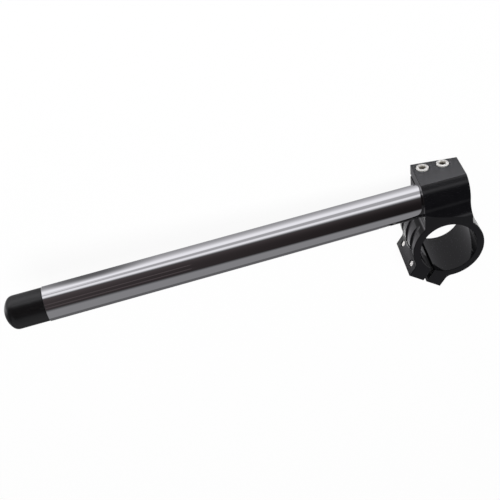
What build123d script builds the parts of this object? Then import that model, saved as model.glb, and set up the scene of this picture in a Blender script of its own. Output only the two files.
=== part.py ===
"""Clip-on handlebar: a fork clamp and bar clamp milled in one, a chromed bar, an end plug and four screws.

Millimetres.  The origin is the middle of the fork clamp's bore, +Z runs along the fork, +Y points from the
fork to the bar, and the bar runs out to -X, rising towards its end.
"""
import os
from math import atan2, cos, degrees, hypot, pi, radians, sin, sqrt, tan

from build123d import *

# Fork clamp: the ring, its pinch ears and its slot
FORK_D = 38.0
RING_WALL = 4.8
RING_LEN = 38.0
BORE_CHAMFER = 0.3
EAR_ANGLE = 237.0
EAR_END = 5.6
EAR_WIDTH = 25.0
SLOT_W = 2.6
EAR_FILLET = 5.5
PINCH_WALL = 0.8
PINCH_EDGE = 7.5
PINCH_SEAT = 6.6

# Flutes milled in the outside of the ring
FLUTE_PITCH = 11.5
FLUTE_DEPTH = 1.6
FLUTE_CUTTER_R = 3.6
FLUTE_INNER_ANGLE = 0.0
FLUTE_INNER_HALF = 36.0
FLUTE_OUTER_ANGLE = 166.0
FLUTE_OUTER_HALF = 29.0
FLUTE_OVERRUN = 3.0

# Bar clamp: the block over the ring
WEB = 2.0
BAR_ANGLE = 10.0
NOSE_R = 14.0
NOSE_FRONT = 18.7431
BLOCK_RISE = 13.55
BLOCK_W = 31.5
SCOOP_R = 9.4
NECK_FILLET = 3.5
SLIT_RISE = 5.4
SLIT_H = 2.0
EDGE_CHAMFER = 0.4
EDGE_ROUND = 0.4
CLAMP_SEAT = 4.3
CLAMP_OUTER_X = -9.2
CLAMP_OUTER_EDGE = 6.55
CLAMP_INNER_X = 4.6
CLAMP_INNER_EDGE = 5.2

# Bar and end plug
BAR_D = 22.2
BAR_WALL = 2.2
BAR_REACH = 263.6
BAR_INNER = 13.5
BAR_FIT = 0.05
BAR_EDGE = 0.3
CAP_D = 21.4
CAP_LEN = 25.4
CAP_EDGE = 0.35
CAP_SHOULDER_R = 5.2
CAP_CROWN_R = 14.0
STEM_LEN = 20.0
STEM_FIT = 0.05
STEM_RIB_H = 0.45
STEM_RIBS = 3
STEM_RIB_START = 3.0
STEM_RIB_PITCH = 5.0
STEM_RIB_LEN = 2.0
STEM_TIP = 1.2

# Socket cap screws, M5
SCREW_D = 5.0
THREAD_FIT = 0.05
CLEARANCE_FIT = 0.25
HEAD_D = 8.5
HEAD_H = 5.0
HEAD_FIT = 0.45
HEAD_CHAMFER = 0.5
HEX_AF = 4.0
HEX_DEPTH = 2.6
CLAMP_SCREW_LEN = 20.0
PINCH_SCREW_LEN = 18.0
TIP_CHAMFER = 0.6
TAP_SPARE = 1.0
HOLE_CHAMFER = 0.4

# How far cutters run past a face
PAST = 2.0
FAR = 200.0
TINY = 0.01

fork_r = FORK_D / 2
ring_r = fork_r + RING_WALL
half_len = RING_LEN / 2
bar_r = BAR_D / 2
bar_inner_r = bar_r - BAR_WALL
# The bar lies a thin web away from the fork's bore, and its slanted nose stays behind the plate's front
slant = radians(BAR_ANGLE)
bar_offset = fork_r + WEB + bar_r
bar_shift = NOSE_FRONT - NOSE_R / cos(slant) - BLOCK_W / 2 * tan(slant)
slit_y = bar_offset + SLIT_RISE
block_top = bar_offset + BLOCK_RISE
# The pinch screws' heads just clear the fork's bore, and the ears run on past the screws
pinch_reach = fork_r + PINCH_WALL + HEAD_D / 2 + HEAD_FIT
ear_reach = pinch_reach + EAR_END
ear_half = EAR_WIDTH / 2

bar_out = Vector(-cos(slant), 0, sin(slant))
bar_plane = Plane(origin=(0, bar_offset, bar_shift), x_dir=(0, 1, 0), z_dir=bar_out)
ear_dir = Vector(cos(radians(EAR_ANGLE)), sin(radians(EAR_ANGLE)), 0)
# The pinch screws go in at the ear away from the bar's free end and run towards the other one
pinch_dir = Vector(ear_dir.Y, -ear_dir.X, 0)


def rod(start, direction, radius, length):
    """A cylinder from a start point along a direction."""
    plane = Plane(origin=start, z_dir=direction)
    return plane * Cylinder(radius, length, align=(Align.CENTER, Align.CENTER, Align.MIN))


def bevel(start, direction, radius, size):
    """A cone that breaks the edge of a round hole, which runs on from the cone's mouth at the start point."""
    plane = Plane(origin=start, z_dir=direction)
    return plane * Cone(radius + size, radius, size, align=(Align.CENTER, Align.CENTER, Align.MIN))


def cap_screw(length):
    """Socket cap screw: the seat under the head is at z 0, the shank runs to +Z, the head to -Z."""
    head = Cylinder(HEAD_D / 2, HEAD_H, align=(Align.CENTER, Align.CENTER, Align.MAX))
    head = chamfer(head.edges().sort_by(Axis.Z)[0], HEAD_CHAMFER)
    shank = Cylinder(SCREW_D / 2 - THREAD_FIT, length, align=(Align.CENTER, Align.CENTER, Align.MIN))
    shank = chamfer(shank.edges().sort_by(Axis.Z)[-1], TIP_CHAMFER)
    hexagon = RegularPolygon(HEX_AF / 2, 6, major_radius=False)
    socket = Pos(0, 0, -HEAD_H) * extrude(hexagon, HEX_DEPTH)
    return head + shank - socket


def flutes(angle, half):
    """Three round-bottomed flutes that run out at both ends, on an arc flatter than the ring."""
    floor_r = ring_r - FLUTE_DEPTH
    centre = (floor_r**2 - ring_r**2) / (2 * (floor_r - ring_r * cos(radians(half))))
    path_r = floor_r - centre + FLUTE_CUTTER_R
    sweep = degrees(atan2(ring_r * sin(radians(half)), ring_r * cos(radians(half)) - centre)) + FLUTE_OVERRUN
    cutter = Plane.XZ * Pos(path_r, 0) * Circle(FLUTE_CUTTER_R)
    cutter = Rot(0, 0, -sweep) * revolve(cutter, Axis.Z, 2 * sweep)
    cutter = Rot(0, 0, angle) * Pos(centre, 0, 0) * cutter
    return [Pos(0, 0, k * FLUTE_PITCH) * cutter for k in (-1, 0, 1)]


# Clamp bracket, milled from one plate
neck_top = bar_offset - SCOOP_R
neck = Pos(0, neck_top / 2) * Rectangle(BLOCK_W, neck_top)
ears = Rot(0, 0, EAR_ANGLE) * Pos(ear_reach / 2, 0) * Rectangle(ear_reach, EAR_WIDTH)
outline = Circle(ring_r) + neck + ears


def on_ring(point):
    return abs(hypot(point.X, point.Y) - ring_r) < TINY


corners = [v for v in outline.vertices() if on_ring(v)]
neck_corners = [v for v in corners if v.Y > 0 and abs(abs(v.X) - BLOCK_W / 2) < TINY]
outline = fillet(neck_corners, NECK_FILLET)
corners = [v for v in outline.vertices() if on_ring(v)]
ear_corners = [v for v in corners if abs(abs(v.X * pinch_dir.X + v.Y * pinch_dir.Y) - ear_half) < TINY]
outline = fillet(ear_corners, EAR_FILLET)
plate = Pos(0, 0, -half_len) * extrude(outline, RING_LEN)
faces = plate.faces().sort_by(Axis.Z)
plate = chamfer(faces[0].edges() + faces[-1].edges(), EDGE_CHAMFER)

# The block is drawn square to the bar: a flat back, a flat top that trims the round nose, and a scoop from the
# nose to the plate's front
trim = (BLOCK_RISE, -sqrt(NOSE_R**2 - BLOCK_RISE**2))
scoop_end = (-SCOOP_R, -NOSE_R - SCOOP_R)
section = RadiusArc(trim, (0, -NOSE_R), NOSE_R)
section += RadiusArc((0, -NOSE_R), scoop_end, -SCOOP_R)
section += Polyline(scoop_end, (-SCOOP_R, -FAR), (-NOSE_R, -FAR), (-NOSE_R, FAR), (BLOCK_RISE, FAR), trim)
block = extrude(bar_plane * make_face(section), FAR / 2, both=True)
block = block & Box(BLOCK_W, FAR, RING_LEN)
block_foot = bar_offset - NOSE_R


def rounded_edge(edge):
    """True for the outlines of the block's two ends, above its foot, and for the back edge of its top."""
    box = edge.bounding_box()
    at_end = abs(box.max.X) + abs(box.min.X) > BLOCK_W - TINY and box.max.X - box.min.X < TINY
    top_back = box.min.Y > block_top - TINY and box.max.Z < TINY - half_len
    return (at_end and box.max.Y > block_foot + TINY) or top_back


block = fillet([e for e in block.edges() if rounded_edge(e)], EDGE_ROUND)
bracket = plate + block

# Fork bore and slot
bracket -= Cylinder(fork_r, RING_LEN + 2 * PAST)
bracket -= bevel((0, 0, half_len), (0, 0, -1), fork_r, BORE_CHAMFER)
bracket -= bevel((0, 0, -half_len), (0, 0, 1), fork_r, BORE_CHAMFER)
bracket -= Rot(0, 0, EAR_ANGLE) * Box(ear_reach + PAST, SLOT_W, RING_LEN + 2 * PAST,
                                      align=(Align.MIN, Align.CENTER, Align.CENTER))

# Bar bore and the slit behind it
bracket -= rod(bar_plane.origin - bar_out * FAR / 2, bar_out, bar_r + BAR_FIT, FAR)
slit = Pos(0, slit_y, bar_shift) * Box(FAR, SLIT_H, FAR, align=(Align.CENTER, Align.CENTER, Align.MAX))
bracket -= slit

# Bar clamp screw holes, each set out from the block's back face
clamp_seats = [Vector(x, block_top - CLAMP_SEAT, edge - half_len)
               for x, edge in ((CLAMP_OUTER_X, CLAMP_OUTER_EDGE), (CLAMP_INNER_X, CLAMP_INNER_EDGE))]
down = Vector(0, -1, 0)
slit_floor = slit_y - SLIT_H / 2
for seat in clamp_seats:
    bracket -= rod(seat, -down, HEAD_D / 2 + HEAD_FIT, CLAMP_SEAT + PAST)
    bracket -= rod(seat, down, SCREW_D / 2 + CLEARANCE_FIT, seat.Y - slit_floor)
    bracket -= rod(seat, down, SCREW_D / 2, CLAMP_SCREW_LEN + TAP_SPARE)

# Pinch screw holes, one near each face of the ring
pinch_seats = [ear_dir * pinch_reach - pinch_dir * (ear_half - PINCH_SEAT) + Vector(0, 0, z)
               for z in (half_len - PINCH_EDGE, PINCH_EDGE - half_len)]
for seat in pinch_seats:
    bracket -= rod(seat, -pinch_dir, HEAD_D / 2 + HEAD_FIT, PINCH_SEAT + PAST)
    bracket -= rod(seat, pinch_dir, SCREW_D / 2 + CLEARANCE_FIT, ear_half - PINCH_SEAT)
    bracket -= rod(seat, pinch_dir, SCREW_D / 2, EAR_WIDTH)
    mouth = seat + pinch_dir * (EAR_WIDTH - PINCH_SEAT)
    bracket -= bevel(mouth, -pinch_dir, SCREW_D / 2, HOLE_CHAMFER)

for cutter in flutes(FLUTE_INNER_ANGLE, FLUTE_INNER_HALF) + flutes(FLUTE_OUTER_ANGLE, FLUTE_OUTER_HALF):
    bracket -= cutter

# Bar, open at its inner end
bar = rod(bar_plane.origin - bar_out * BAR_INNER, bar_out, bar_r, BAR_INNER + BAR_REACH)
bar -= rod(bar_plane.origin - bar_out * (BAR_INNER + PAST), bar_out, bar_inner_r,
           BAR_INNER + BAR_REACH + 2 * PAST)
bar = chamfer([e for e in bar.edges() if abs(e.length - 2 * pi * bar_r) < TINY
               and e.geom_type == GeomType.CIRCLE], BAR_EDGE)

# End plug: a blunt round end and a ribbed stem inside the bar, turned as one outline
cap_r = CAP_D / 2
rib_r = bar_inner_r - STEM_FIT
stem_r = rib_r - STEM_RIB_H
points = [(0, CAP_LEN), (0, -STEM_LEN), (stem_r - STEM_TIP, -STEM_LEN), (stem_r, STEM_TIP - STEM_LEN)]
for k in reversed(range(STEM_RIBS)):
    rib_top = -STEM_RIB_START - k * STEM_RIB_PITCH
    rib_foot = rib_top - STEM_RIB_LEN
    points += [(stem_r, rib_foot), (rib_r, rib_foot), (rib_r, rib_top), (stem_r, rib_top)]
# The end is a shoulder arc that runs into a flatter crown arc, tangent to it and to the straight side
crown_at = CAP_LEN - CAP_CROWN_R
shoulder_x = cap_r - CAP_SHOULDER_R
shoulder_y = crown_at + sqrt((CAP_CROWN_R - CAP_SHOULDER_R)**2 - shoulder_x**2)
tilt = atan2(shoulder_y - crown_at, shoulder_x)
points += [(stem_r, 0), (cap_r - CAP_EDGE, 0), (cap_r, CAP_EDGE), (cap_r, shoulder_y)]
outline = Polyline(*points)
outline += CenterArc((shoulder_x, shoulder_y), CAP_SHOULDER_R, 0, degrees(tilt))
outline += CenterArc((0, crown_at), CAP_CROWN_R, degrees(tilt), 90 - degrees(tilt))
plug = revolve(Plane.XZ * make_face(outline), Axis.Z)
plug = Plane(origin=bar_plane.origin + bar_out * BAR_REACH, x_dir=(0, 1, 0), z_dir=bar_out) * plug

parts = {
    "clamp_bracket": bracket,
    "bar_tube": bar,
    "end_plug": plug,
}
for name, seat in zip(("outer", "inner"), clamp_seats):
    seat_plane = Plane(origin=seat, x_dir=(1, 0, 0), z_dir=down)
    parts[f"clamp_screw_{name}"] = seat_plane * cap_screw(CLAMP_SCREW_LEN)
for name, seat in zip(("front", "back"), pinch_seats):
    seat_plane = Plane(origin=seat, x_dir=(0, 0, 1), z_dir=pinch_dir)
    parts[f"pinch_screw_{name}"] = seat_plane * cap_screw(PINCH_SCREW_LEN)

os.makedirs("parts", exist_ok=True)
for name, shape in parts.items():
    export_step(shape, f"parts/{name}.step")
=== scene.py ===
"""Looks of a clip-on handlebar: anodised clamp, chromed tube, round end plug and four zinc-plated screws.

Metres, in the part's own frame: +Z along the fork, +Y from the fork to the bar, the bar out to -X.
"""

import bmesh
import bpy
import numpy as np
from mathutils import Matrix, Vector


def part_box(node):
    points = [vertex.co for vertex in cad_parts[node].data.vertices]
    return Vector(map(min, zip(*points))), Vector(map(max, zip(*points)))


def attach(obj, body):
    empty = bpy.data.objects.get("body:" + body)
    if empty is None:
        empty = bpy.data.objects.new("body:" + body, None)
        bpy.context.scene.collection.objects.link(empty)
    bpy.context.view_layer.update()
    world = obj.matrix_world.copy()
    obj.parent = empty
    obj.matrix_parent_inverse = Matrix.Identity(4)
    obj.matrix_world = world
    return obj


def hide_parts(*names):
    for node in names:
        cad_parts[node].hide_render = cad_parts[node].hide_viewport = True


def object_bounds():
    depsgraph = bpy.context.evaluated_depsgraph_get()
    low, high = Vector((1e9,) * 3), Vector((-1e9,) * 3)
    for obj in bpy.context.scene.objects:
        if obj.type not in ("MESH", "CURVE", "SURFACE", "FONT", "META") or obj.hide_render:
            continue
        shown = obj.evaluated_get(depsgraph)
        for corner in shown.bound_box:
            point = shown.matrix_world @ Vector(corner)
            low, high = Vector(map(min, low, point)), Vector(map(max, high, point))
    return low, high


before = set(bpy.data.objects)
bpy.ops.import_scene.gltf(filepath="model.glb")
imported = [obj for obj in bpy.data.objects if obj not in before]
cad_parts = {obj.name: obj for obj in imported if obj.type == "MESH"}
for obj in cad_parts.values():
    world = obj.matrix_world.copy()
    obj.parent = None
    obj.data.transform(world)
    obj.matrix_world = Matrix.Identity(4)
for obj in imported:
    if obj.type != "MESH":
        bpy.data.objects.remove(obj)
cad_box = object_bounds()

# Clamp bracket: one milled block of aluminium that holds the fork tube in its split ring and the bar in its
# nose.  It is anodised in a deep, slightly blue black with a satin sheen that still shows the cutter's fine
# lines, smoother in the bore.  The flat top's lighter grey is painted light.
ANODISED_DEEP = (0.0030, 0.0030, 0.0038, 1)
ANODISED_WORN = (0.0058, 0.0058, 0.0068, 1)
ANODISED_IOR = 1.4
ANODISED_SMOOTH = 0.09
ANODISED_DULL = 0.16
BORE_SMOOTH = 0.06
BORE_REACH = 0.0192
TOP_FROM = 0.0456
# Painted light: a lighter grey on the flat top for the light it catches
TOP_PAINTED_LIGHT = (0.054, 0.054, 0.058, 1)
PATCHES_PER_M = 140
GRAIN_PER_M = 4200
CUTTER_LINES_PER_M = 320
CUTTER_LINE_WANDER = 0.6
CUTTER_LINE_DEPTH = 1.2e-6
GRAIN_DEPTH = 1.6e-6


def empty_material(name):
    """A node material with a Principled shader: the material, its node list, its links and that shader."""
    material = bpy.data.materials.new(name)
    material.use_nodes = True
    tree = material.node_tree
    return material, tree.nodes, tree.links, tree.nodes["Principled BSDF"]


def ranged(nodes, links, source, low, high):
    """A Map Range node that carries a 0 to 1 texture value to the span from low to high."""
    span = nodes.new("ShaderNodeMapRange")
    span.inputs["To Min"].default_value = low
    span.inputs["To Max"].default_value = high
    links.new(source, span.inputs["Value"])
    return span.outputs["Result"]


def noise(nodes, links, vector, scale, detail):
    """A noise texture on the given coordinates, as its 0 to 1 value."""
    texture = nodes.new("ShaderNodeTexNoise")
    texture.inputs["Scale"].default_value = scale
    texture.inputs["Detail"].default_value = detail
    links.new(vector, texture.inputs["Vector"])
    return texture.outputs["Fac"]


def two_colours(nodes, links, factor, first, second):
    """A colour ramp between two colours, driven by a 0 to 1 value."""
    ramp = nodes.new("ShaderNodeValToRGB")
    ramp.color_ramp.elements[0].color = first
    ramp.color_ramp.elements[1].color = second
    links.new(factor, ramp.inputs["Fac"])
    return ramp.outputs["Color"]


def relief(nodes, links, height, depth, below=None):
    """A bump node of the given depth in metres, laid over another bump where one is given."""
    bump = nodes.new("ShaderNodeBump")
    bump.inputs["Distance"].default_value = depth
    links.new(height, bump.inputs["Height"])
    if below is not None:
        links.new(below, bump.inputs["Normal"])
    return bump.outputs["Normal"]


def where(nodes, links, value, comparison, limit):
    """A Math node that is 1 where the value passes the comparison with the limit, and 0 elsewhere."""
    test = nodes.new("ShaderNodeMath")
    test.operation = comparison
    test.inputs[1].default_value = limit
    links.new(value, test.inputs[0])
    return test.outputs["Value"]


def black_anodising():
    """Patchy sheen over fine grain and cutter lines, smooth in the bore, and painted light on the flat top.
    """
    material, nodes, links, shader = empty_material("black_anodising")
    place = nodes.new("ShaderNodeTexCoord").outputs["Object"]
    patches = noise(nodes, links, place, PATCHES_PER_M, detail=3)
    grain = noise(nodes, links, place, GRAIN_PER_M, detail=2)
    lines = nodes.new("ShaderNodeTexWave")
    lines.inputs["Scale"].default_value = CUTTER_LINES_PER_M
    lines.inputs["Distortion"].default_value = CUTTER_LINE_WANDER
    links.new(place, lines.inputs["Vector"])
    height = nodes.new("ShaderNodeSeparateXYZ")
    links.new(place, height.inputs["Vector"])
    # The flat top takes the lighter grey, as painted light
    lit_top = where(nodes, links, height.outputs["Y"], "GREATER_THAN", TOP_FROM)
    colour = nodes.new("ShaderNodeMix")
    colour.data_type = "RGBA"
    links.new(lit_top, colour.inputs["Factor"])
    links.new(two_colours(nodes, links, patches, ANODISED_DEEP, ANODISED_WORN), colour.inputs["A"])
    colour.inputs["B"].default_value = TOP_PAINTED_LIGHT
    links.new(colour.outputs["Result"], shader.inputs["Base Color"])
    flattened = nodes.new("ShaderNodeVectorMath")
    flattened.operation = "MULTIPLY"
    flattened.inputs[1].default_value = (1, 1, 0)
    links.new(place, flattened.inputs[0])
    from_axis = nodes.new("ShaderNodeVectorMath")
    from_axis.operation = "LENGTH"
    links.new(flattened.outputs["Vector"], from_axis.inputs[0])
    in_bore = where(nodes, links, from_axis.outputs["Value"], "LESS_THAN", BORE_REACH)
    sheen = nodes.new("ShaderNodeMix")
    links.new(in_bore, sheen.inputs["Factor"])
    links.new(ranged(nodes, links, patches, ANODISED_SMOOTH, ANODISED_DULL), sheen.inputs["A"])
    sheen.inputs["B"].default_value = BORE_SMOOTH
    links.new(sheen.outputs["Result"], shader.inputs["Roughness"])
    shader.inputs["IOR"].default_value = ANODISED_IOR
    grained = relief(nodes, links, grain, GRAIN_DEPTH)
    milled = relief(nodes, links, lines.outputs["Fac"], CUTTER_LINE_DEPTH, below=grained)
    links.new(milled, shader.inputs["Normal"])
    return material


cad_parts["clamp_bracket"].material_slots[0].material = black_anodising()

# Bar: a drawn steel tube, polished and chromed, pushed into the bracket's nose and clamped there.
# The chrome is a clear mirror with faint streaks along the tube from polishing.
BAR_RISE = np.radians(10)
CHROME = (0.80, 0.80, 0.81, 1)
CHROME_CLEAR = 0.02
CHROME_STREAKED = 0.065
STREAKS_ALONG = 6
STREAKS_ROUND = 900
STREAK_DEPTH = 4e-7


def polished_chrome():
    """A mirror whose roughness wanders in streaks drawn out along the tube."""
    material, nodes, links, shader = empty_material("polished_chrome")
    along_bar = nodes.new("ShaderNodeMapping")
    along_bar.vector_type = "TEXTURE"
    along_bar.inputs["Rotation"].default_value = (0, BAR_RISE, 0)
    along_bar.inputs["Scale"].default_value = (1 / STREAKS_ALONG, 1 / STREAKS_ROUND, 1 / STREAKS_ROUND)
    links.new(nodes.new("ShaderNodeTexCoord").outputs["Object"], along_bar.inputs["Vector"])
    streaks = noise(nodes, links, along_bar.outputs["Vector"], scale=1, detail=4)
    links.new(ranged(nodes, links, streaks, CHROME_CLEAR, CHROME_STREAKED), shader.inputs["Roughness"])
    links.new(relief(nodes, links, streaks, STREAK_DEPTH), shader.inputs["Normal"])
    shader.inputs["Base Color"].default_value = CHROME
    shader.inputs["Metallic"].default_value = 1
    return material


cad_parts["bar_tube"].material_slots[0].material = polished_chrome()

# End plug: a moulded black plastic cap with a blunt round end, its ribbed stem pressed into the tube.
# The moulded skin is charcoal, satin and very finely grained.
PLUG_DARK = (0.0016, 0.0016, 0.0018, 1)
PLUG_LIGHT = (0.0036, 0.0036, 0.0040, 1)
PLUG_IOR = 1.62
PLUG_SATIN = 0.25
PLUG_RUBBED = 0.34
MOULD_GRAIN_PER_M = 2600
MOULD_GRAIN_DEPTH = 6e-6
HANDLING_PER_M = 160


def moulded_black():
    """Fine mould grain, with a sheen and tone that vary a little from handling."""
    material, nodes, links, shader = empty_material("moulded_black")
    place = nodes.new("ShaderNodeTexCoord").outputs["Object"]
    handling = noise(nodes, links, place, HANDLING_PER_M, detail=3)
    grain = noise(nodes, links, place, MOULD_GRAIN_PER_M, detail=2)
    links.new(two_colours(nodes, links, handling, PLUG_DARK, PLUG_LIGHT), shader.inputs["Base Color"])
    links.new(ranged(nodes, links, handling, PLUG_SATIN, PLUG_RUBBED), shader.inputs["Roughness"])
    links.new(relief(nodes, links, grain, MOULD_GRAIN_DEPTH), shader.inputs["Normal"])
    shader.inputs["IOR"].default_value = PLUG_IOR
    return material


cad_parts["end_plug"].material_slots[0].material = moulded_black()

# Screws: four M5 socket cap screws, two that squeeze the nose on the bar and two that pinch the ring on the
# fork.  Each is cold headed steel with a knurled head and a rolled thread, plated in bright zinc.
HEAD_R = 0.00425
HEAD_H = 0.005
HEAD_EDGE = 0.0005
EDGE_ROUND = 0.3
KNURL_FROM = 1.6
KNURLS = 44
KNURL_DEPTH = 0.00011
SOCKET_HALF = 0.002
SOCKET_DEPTH = 0.0026
SOCKET_LEAD_IN = 0.00018
CREST_R = 0.00245
THREAD_DEPTH = 0.00046
THREAD_PITCH = 0.0008
THREAD_STEEPNESS = 1.25
THREAD_CREST = 0.1
ROWS_PER_TURN = 10
TIP_TAPER = 0.0006
COLUMNS = 132
POLE_MERGE = 1e-7
SHARP_ANGLE = np.radians(32)
EAR_ANGLE = np.radians(237)
ZINC = (0.96, 0.945, 0.91, 1)
# The socket's brown: grease, darkened as painted shade in the recess
SOCKET_GREASE_AND_SHADE = (0.15, 0.125, 0.09, 1)
ZINC_BRIGHT = 0.26
ZINC_DULL = 0.40
ZINC_METAL = 0.55
SOCKET_METAL = 0.2
# Shares of the socket's brown down its wall, most at its floor: grease with painted shade
GREASE_AND_SHADE_HALF_UP = 0.9
GREASE_AND_SHADE_AT_RIM = 0.6
GREASE_AND_SHADE_AT_MOUTH = 0.1
TURNING_RINGS_PER_M = 9000
ZINC_CLOUDS_PER_M = 500
TURNING_DEPTH = 2.5e-6


def cap_screw(name, node, axis):
    """One screw as a grid of rows down its outline and columns round its axis.

    The rows run from the middle of the socket's floor, up its wall, over the head and down the thread to the
    middle of the tip.  A row's radius is that of a hexagon in the socket, HEAD_R less a ring of cosine knurls
    on the head's side, and on the shank CREST_R less a triangle wave of the row's height in pitches minus the
    column's share of a turn.
    """
    axis = np.array(axis, float)
    points = np.empty(len(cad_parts[node].data.vertices) * 3)
    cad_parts[node].data.vertices.foreach_get("co", points)
    points = points.reshape(-1, 3)
    across = np.cross(axis, (0.0, 0.0, 1.0))
    upright = np.cross(across, axis)
    sides = np.stack([across, upright])
    middle = (points @ sides.T).min(0) / 2 + (points @ sides.T).max(0) / 2
    top = (points @ axis).min()
    length = np.ptp(points @ axis)

    socket_r = SOCKET_HALF / np.cos(np.pi / 6)
    mouth_r = socket_r + SOCKET_LEAD_IN
    turns = np.arange(HEAD_H + THREAD_PITCH / 4, length - TIP_TAPER, THREAD_PITCH / ROWS_PER_TURN)
    # Each row: height below the head's top, radius, then shares of hexagon, knurl, thread, and grease
    # with painted shade
    head = [
        (SOCKET_DEPTH, 0, 0, 0, 0, 1),
        (SOCKET_DEPTH, socket_r, 1, 0, 0, 1),
        (SOCKET_DEPTH / 2, socket_r, 1, 0, 0, GREASE_AND_SHADE_HALF_UP),
        (SOCKET_LEAD_IN, socket_r, 1, 0, 0, GREASE_AND_SHADE_AT_RIM),
        (0, mouth_r, 0, 0, 0, GREASE_AND_SHADE_AT_MOUTH),
        (0, (mouth_r + HEAD_R) / 2, 0, 0, 0, 0),
        (0, HEAD_R - HEAD_EDGE, 0, 0, 0, 0),
        (HEAD_EDGE * EDGE_ROUND, HEAD_R - HEAD_EDGE * EDGE_ROUND, 0, 0, 0, 0),
        (HEAD_EDGE, HEAD_R, 0, 0, 0, 0),
        (HEAD_EDGE * KNURL_FROM, HEAD_R, 0, 1, 0, 0),
        (HEAD_H - HEAD_EDGE, HEAD_R, 0, 1, 0, 0),
        (HEAD_H, HEAD_R - HEAD_EDGE, 0, 0, 0, 0),
        (HEAD_H, CREST_R, 0, 0, 0, 0),
    ]
    shank = [(height, CREST_R, 0, 0, 1, 0) for height in turns]
    tip = [
        (length - TIP_TAPER, CREST_R, 0, 0, 0, 0),
        (length, CREST_R - TIP_TAPER, 0, 0, 0, 0),
        (length, 0, 0, 0, 0, 0),
    ]
    down, out, hexed, knurled, threaded, shaded_grease = np.array(head + shank + tip, float).T[:, :, None]

    turn = np.linspace(0, 2 * np.pi, COLUMNS, endpoint=False)
    hexagon = SOCKET_HALF / np.cos((turn + np.pi / 6) % (np.pi / 3) - np.pi / 6)
    saw = (down / THREAD_PITCH - turn / (2 * np.pi)) % 1
    groove = THREAD_DEPTH * np.clip(THREAD_STEEPNESS * (1 - np.abs(2 * saw - 1)) - THREAD_CREST, 0, 1)
    run_out = np.clip((down - HEAD_H) / THREAD_PITCH, 0, 1)
    run_out = run_out * np.clip((length - down) / TIP_TAPER / 2, 0, 1)
    radius = out + hexed * (hexagon - socket_r)
    radius = radius - knurled * KNURL_DEPTH * (0.5 + 0.5 * np.cos(KNURLS * turn))
    radius = radius - threaded * run_out * groove
    grid = middle @ sides + (top + down)[..., None] * axis
    grid = grid + (radius * np.cos(turn))[..., None] * across + (radius * np.sin(turn))[..., None] * upright

    row, column = np.meshgrid(np.arange(len(down) - 1), np.arange(COLUMNS), indexing="ij")
    after = (column + 1) % COLUMNS
    here = row * COLUMNS
    corners = np.stack([here + column, here + after, here + COLUMNS + after, here + COLUMNS + column], -1)
    mesh = bpy.data.meshes.new(name)
    mesh.from_pydata(grid.reshape(-1, 3), [], corners.reshape(-1, 4))
    run = np.concatenate([[0], np.cumsum(np.hypot(np.diff(down[:, 0]), np.diff(out[:, 0])))])
    for attribute, values in (("grease_and_shade", shaded_grease[:, 0]), ("outline_run", run)):
        mesh.attributes.new(attribute, "FLOAT", "POINT").data.foreach_set(
            "value", np.repeat(values, COLUMNS).astype(np.float32))
    closed = bmesh.new()
    closed.from_mesh(mesh)
    bmesh.ops.remove_doubles(closed, verts=closed.verts, dist=POLE_MERGE)
    bmesh.ops.recalc_face_normals(closed, faces=closed.faces)
    closed.to_mesh(mesh)
    closed.free()
    mesh.shade_smooth()
    mesh.set_sharp_from_angle(angle=SHARP_ANGLE)
    mesh.materials.append(bright_zinc)
    screw = bpy.data.objects.new(name, mesh)
    bpy.context.scene.collection.objects.link(screw)
    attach(screw, "root")
    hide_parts(node)


def zinc_plating():
    """Bright zinc, turning rings along the outline, the socket dulled and browned by grease and painted
    shade.
    """
    material, nodes, links, shader = empty_material("zinc_plating")
    place = nodes.new("ShaderNodeTexCoord").outputs["Object"]
    run = nodes.new("ShaderNodeAttribute")
    run.attribute_name = "outline_run"
    grease_and_shade = nodes.new("ShaderNodeAttribute")
    grease_and_shade.attribute_name = "grease_and_shade"
    rings = nodes.new("ShaderNodeTexNoise")
    rings.noise_dimensions = "1D"
    rings.inputs["Scale"].default_value = TURNING_RINGS_PER_M
    links.new(run.outputs["Fac"], rings.inputs["W"])
    clouds = noise(nodes, links, place, ZINC_CLOUDS_PER_M, detail=3)
    # The socket's brown, deepest at its floor: grease with painted shade in the recess
    shaded_grease = grease_and_shade.outputs["Fac"]
    links.new(two_colours(nodes, links, shaded_grease, ZINC, SOCKET_GREASE_AND_SHADE), shader.inputs["Base Color"])
    links.new(ranged(nodes, links, shaded_grease, ZINC_METAL, SOCKET_METAL), shader.inputs["Metallic"])
    links.new(ranged(nodes, links, clouds, ZINC_BRIGHT, ZINC_DULL), shader.inputs["Roughness"])
    links.new(relief(nodes, links, rings.outputs["Fac"], TURNING_DEPTH), shader.inputs["Normal"])
    return material


bright_zinc = zinc_plating()
pinch_axis = (np.sin(EAR_ANGLE), -np.cos(EAR_ANGLE), 0)
for place in ("outer", "inner"):
    cap_screw(f"threaded_clamp_screw_{place}", f"clamp_screw_{place}", (0, -1, 0))
for place in ("front", "back"):
    cap_screw(f"threaded_pinch_screw_{place}", f"pinch_screw_{place}", pinch_axis)

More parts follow.
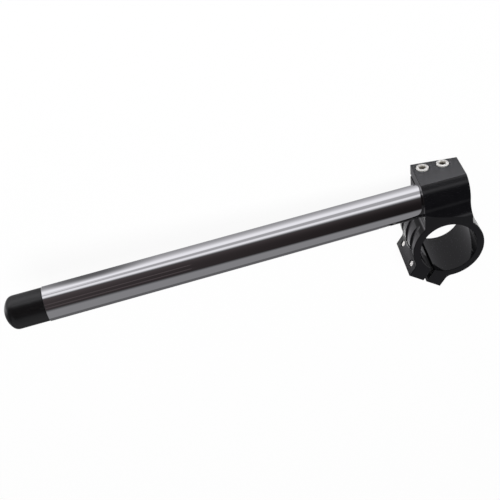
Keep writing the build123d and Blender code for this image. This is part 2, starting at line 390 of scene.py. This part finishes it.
# Studio: a white table under the bracket, white all round, and soft light from one large lamp.
# Curved boards that only reflections see stand round the bar and give the chrome its bands, dark in the
# middle and grey below, as painted reflections.  Sheets on the table that only reflections see do the same
# for the sides that look down on it, with painted shade and light on them.
FLOOR_HALF = 2.5
FLOOR_WHITE = (0.9, 0.9, 0.9, 1)
GLOW_SEEN = 0.93
GLOW_MIRRORED = 0.3
BOARD_R = 1.2
BOARD_HALF = 2.0
BOARD_STEPS = 25
NEAR_FOOT = (-145, 0)
GREY_FOOT = (-116, 0)
GREY_HEAD = (-63, 17)
DARK_FOOT = (-48, 20)
DARK_HEAD = (23, 22)
PALE_FOOT = (37, 13)
PALE_HEAD = (45, 13)
HAZE_FOOT = (51, 13)
HAZE_HEAD = (66, 13)
NEAR_TONE = 0.13
GREY_TONE = 0.26
DARK_TONE = 0.029
DARK_FADE = 0.037
DARKEST = 0.011
DARK_RISE = 0.03
DARK_BEND = 4
DAWN_BEND = 2
PALE_TONE = 0.92
HAZE_TONE = 0.42
END_TONE = 0.08
LATHS = ((-34, 8), (-9, -4))
LATH_WIDTH = 5
LATH_R = 1.15
LATH_TONE = 0.075
COOL_WHITE = (0.985, 0.975, 1.02, 1)
WARM_DARK = (1.12, 0.93, 0.97, 1)
WORLD_LEVEL = 0.3
LAMP_AT = (-0.15, 0.5, 1.35)
LAMP_SIZE = 0.6
LAMP_POWER = 17.5
CLOTH_LIFT = 0.0005
NEAR_EDGE = -0.05
SIDE_SHADED_TO = -0.024
SIDE_LIT_FROM = -0.014
SIDE_EDGE = 0.015
SIDE_END = -0.03
SIDE_SHADED = 0.30
SIDE_LIT = 0.9
BORE_CARD = (-0.019, 0.019)
BORE_CARD_TONE = 0.55
# Tones of the bar's painted shadow on the table: plain, and near the bar's free end
BAR_SHADOW_TONE = (0.34, 0.12)
SHEEN_FROM = (0.15, 0.5)
SHEEN_TO = (2.3, 3.0)
FAR_FROM = 3.4
FAR_TO = 6.5
SHADE_AT = -0.245
SHADE_HALF = 0.042
SHEEN_LOWEST = 0.02
SHEEN_REACH = 0.4
SHEEN_STEPS = 60

bar_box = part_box("bar_tube")
bar_middle = np.array((bar_box[0] + bar_box[1]) / 2)
bar_along = np.array((-np.cos(BAR_RISE), 0, np.sin(BAR_RISE)))


def ray_share(nodes, links, seen, mirrored):
    """The one value on camera rays, the other on glossy and transmission rays, and 0 on diffuse light's."""
    rays = nodes.new("ShaderNodeLightPath")
    total = 0
    shares = {"Is Camera Ray": seen, "Is Glossy Ray": mirrored, "Is Transmission Ray": mirrored}
    for kind, share in shares.items():
        scaled = nodes.new("ShaderNodeMath")
        scaled.operation = "MULTIPLY_ADD"
        links.new(rays.outputs[kind], scaled.inputs[0])
        scaled.inputs[1].default_value = share
        if total:
            links.new(total, scaled.inputs[2])
        else:
            scaled.inputs[2].default_value = 0
        total = scaled.outputs["Value"]
    return total


def white_table():
    """A white matt floor that glows to white where it is seen, so that only a faint shadow shows on it."""
    material, nodes, links, shader = empty_material("white_table")
    shader.inputs["Base Color"].default_value = FLOOR_WHITE
    shader.inputs["Roughness"].default_value = 1
    shader.inputs["Specular IOR Level"].default_value = 0
    glow = nodes.new("ShaderNodeEmission")
    mix = nodes.new("ShaderNodeMixShader")
    links.new(ray_share(nodes, links, GLOW_SEEN, GLOW_MIRRORED), mix.inputs["Fac"])
    links.new(shader.outputs["BSDF"], mix.inputs[1])
    links.new(glow.outputs["Emission"], mix.inputs[2])
    links.new(mix.outputs["Shader"], nodes["Material Output"].inputs["Surface"])
    return material


floor_z = cad_box[0].z
floor_mesh = bpy.data.meshes.new("floor")
floor_corners = np.array([(-1, -1, 0), (1, -1, 0), (1, 1, 0), (-1, 1, 0)]) * FLOOR_HALF + (0, 0, floor_z)
floor_mesh.from_pydata(floor_corners, [], [(0, 1, 2, 3)])
floor_mesh.materials.append(white_table())
floor = bpy.data.objects.new("floor", floor_mesh)
bpy.context.scene.collection.objects.link(floor)


def reflected_only(name, grid, tone, tint):
    """A grid of points as a sheet with a tone at each, which shows in reflections and lights nothing else."""
    rows, columns = grid.shape[:2]
    row, column = np.meshgrid(np.arange(rows - 1), np.arange(columns - 1), indexing="ij")
    first = row * columns + column
    mesh = bpy.data.meshes.new(name)
    corners = np.stack([first, first + 1, first + columns + 1, first + columns], -1)
    mesh.from_pydata(grid.reshape(-1, 3), [], corners.reshape(-1, 4))
    mesh.attributes.new("tone", "FLOAT", "POINT").data.foreach_set(
        "value", np.broadcast_to(tone, (rows, columns)).astype(np.float32).ravel())
    material, nodes, links, shader = empty_material(name)
    shader.inputs["Base Color"].default_value = (0, 0, 0, 1)
    shader.inputs["Specular IOR Level"].default_value = 0
    shader.inputs["Emission Color"].default_value = tint
    tones = nodes.new("ShaderNodeAttribute")
    tones.attribute_name = "tone"
    links.new(tones.outputs["Fac"], shader.inputs["Emission Strength"])
    mesh.materials.append(material)
    sheet = bpy.data.objects.new(name, mesh)
    sheet.visible_camera = False
    sheet.visible_diffuse = False
    sheet.visible_shadow = False
    bpy.context.scene.collection.objects.link(sheet)


board_along = np.linspace(-BOARD_HALF, BOARD_HALF, BOARD_STEPS)


def board(name, first, last, tones, bend=1, tint=COOL_WHITE, along=board_along, radius=BOARD_R):
    """A curved board round the bar: a circle about the bar's axis from the first edge to the last.

    An edge is its angle at the bar's middle, in degrees up from the side of the main view, and how much that
    angle grows with each metre towards the free end.  The tone runs from the first edge's to the last's with
    the share of the way between them to the power of the bend.
    """
    share = np.linspace(0, 1, BOARD_STEPS)[:, None]
    angle = (1 - share) * (first[0] + first[1] * along) + share * (last[0] + last[1] * along)
    angle = np.radians(angle)[..., None]
    grid = bar_middle + along[None, :, None] * bar_along
    grid = grid + radius * (np.cos(angle) * to_camera + np.sin(angle) * picture_up)
    reflected_only(name, grid, tones[0] + share**bend * (tones[1] - tones[0]), tint)


CAMERA_AT = Vector((-0.12082, 0.32887, 0.42196))
CAMERA_LOOKS = Vector((-0.01914, -0.60100, -0.79902))
CAMERA_UP = Vector((0.16456, 0.78637, -0.59543))
CAMERA_LENS = 56.0
to_camera = np.array(CAMERA_AT) - bar_middle
to_camera -= to_camera @ bar_along * bar_along
to_camera /= np.linalg.norm(to_camera)
picture_up = np.cross(bar_along, to_camera)
dark_tone = np.maximum(DARK_TONE + DARK_FADE * board_along, DARKEST)
board("near_board", NEAR_FOOT, GREY_FOOT, (NEAR_TONE, NEAR_TONE))
board("grey_board", GREY_FOOT, GREY_HEAD, (GREY_TONE, GREY_TONE))
board("dusk_board", GREY_HEAD, DARK_FOOT, (GREY_TONE, dark_tone))
board("dark_board", DARK_FOOT, DARK_HEAD, (dark_tone, dark_tone + DARK_RISE), DARK_BEND, WARM_DARK)
board("dawn_board", DARK_HEAD, PALE_FOOT, (dark_tone + DARK_RISE, PALE_TONE), DAWN_BEND)
board("pale_board", PALE_FOOT, PALE_HEAD, (PALE_TONE, PALE_TONE))
board("haze_board", PALE_HEAD, HAZE_FOOT, (PALE_TONE, HAZE_TONE))
board("horizon_board", HAZE_FOOT, HAZE_HEAD, (HAZE_TONE, HAZE_TONE))
lath_along = np.linspace(0, BOARD_HALF, BOARD_STEPS)
for number, (at, tilt) in enumerate(LATHS):
    board(f"lath_{number}", (at, tilt), (at + LATH_WIDTH, tilt), (LATH_TONE, LATH_TONE), tint=WARM_DARK,
          along=lath_along, radius=LATH_R)

# A round board closes the far end, past the bar's free end
out, turn = np.meshgrid(np.linspace(0, BOARD_R, BOARD_STEPS), np.linspace(0, 2 * np.pi, BOARD_STEPS))
far_end = bar_middle + BOARD_HALF * bar_along
far_end = far_end + (out * np.cos(turn))[..., None] * to_camera
far_end = far_end + (out * np.sin(turn))[..., None] * picture_up
reflected_only("end_board", far_end, END_TONE, COOL_WHITE)


def on_table(x, y):
    """A grid of points just over the floor."""
    across, back = np.meshgrid(x, y)
    return np.stack([across, back, np.full_like(across, floor_z + CLOTH_LIFT)], -1)


# A dark sheet on the near side of the table that only reflections see: painted shade
near = on_table((-FLOOR_HALF, FLOOR_HALF), (-FLOOR_HALF, NEAR_EDGE))
reflected_only("near_painted_shade", near, NEAR_TONE, COOL_WHITE)
# A sheet left of the ring that only reflections see: dim with painted shade on its near part, bright towards
# the bar
side = on_table((-FLOOR_HALF, SIDE_END), (NEAR_EDGE, SIDE_SHADED_TO, SIDE_LIT_FROM, SIDE_EDGE))
side_tone = np.interp(side[..., 1], (SIDE_SHADED_TO, SIDE_LIT_FROM), (SIDE_SHADED, SIDE_LIT))
reflected_only("side_painted_shade", side, side_tone, COOL_WHITE)
# A grey card that glows on the table inside the bore and only reflections see: painted light in the bore
reflected_only("bore_painted_light", on_table(BORE_CARD, BORE_CARD), BORE_CARD_TONE, COOL_WHITE)


def eased(value, first, last):
    """0 up to the first value, 1 from the last, and 3 t**2 - 2 t**3 of the share t of the way between."""
    share = np.clip((value - first) / (last - first), 0, 1)
    return share**2 * (3 - 2 * share)


# Painted light and shadow on a sheet over the table behind the bar, which only reflections see: dim under
# the bar as its painted shadow, most near its free end, whitening with the slope that it is seen at from the
# bar, and a painted fall of light to the haze further off
sheen = on_table(np.r_[-FLOOR_HALF, np.linspace(-SHEEN_REACH, SHEEN_REACH, SHEEN_STEPS), FLOOR_HALF],
                 np.r_[np.linspace(SIDE_EDGE, SHEEN_REACH, SHEEN_STEPS), FLOOR_HALF])
bar_height = bar_middle[2] - floor_z + (bar_middle[0] - sheen[..., 0]) * np.tan(BAR_RISE)
slope = (sheen[..., 1] - bar_middle[1]) / np.maximum(bar_height, SHEEN_LOWEST)
shade = np.clip(1 - ((sheen[..., 0] - SHADE_AT) / SHADE_HALF) ** 2, 0, 1)
under, start, stop = (plain + (shaded - plain) * shade
                      for plain, shaded in (BAR_SHADOW_TONE, SHEEN_FROM, SHEEN_TO))
sheen_tone = under + (1 - under) * eased(slope, start, stop)
sheen_tone = sheen_tone - (1 - HAZE_TONE) * eased(slope, FAR_FROM, FAR_TO)
reflected_only("table_painted_shadow", sheen, sheen_tone, COOL_WHITE)

world = bpy.data.worlds.new("studio")
world.use_nodes = True
sky_nodes = world.node_tree.nodes
sky_links = world.node_tree.links
sky = sky_nodes["Background"]
sky.inputs["Color"].default_value = (1, 1, 1, 1)
seen = ray_share(sky_nodes, sky_links, seen=1, mirrored=1)
sky_links.new(ranged(sky_nodes, sky_links, seen, WORLD_LEVEL, 1), sky.inputs["Strength"])
bpy.context.scene.world = world

lamp_data = bpy.data.lights.new("soft_lamp", "AREA")
lamp_data.shape = "DISK"
lamp_data.size = LAMP_SIZE
lamp_data.energy = LAMP_POWER
lamp = bpy.data.objects.new("soft_lamp", lamp_data)
lamp.location = LAMP_AT
lamp.rotation_euler = (Vector(bar_middle) - lamp.location).to_track_quat("-Z", "Y").to_euler()
lamp.visible_glossy = False
bpy.context.scene.collection.objects.link(lamp)

# Camera: it looks down on the bar and the ring's open face, from over the bar and at arm's length,
# with the bar's free end at the lower left.
camera_data = bpy.data.cameras.new("camera")
camera_data.lens = CAMERA_LENS
camera = bpy.data.objects.new("camera", camera_data)
right = CAMERA_LOOKS.cross(CAMERA_UP).normalized()
above = right.cross(CAMERA_LOOKS).normalized()
camera_turn = Matrix((right, above, -CAMERA_LOOKS)).transposed().to_4x4()
camera.matrix_world = Matrix.Translation(CAMERA_AT) @ camera_turn
bpy.context.scene.collection.objects.link(camera)
bpy.context.scene.camera = camera
bpy.context.scene.view_settings.view_transform = "Standard"
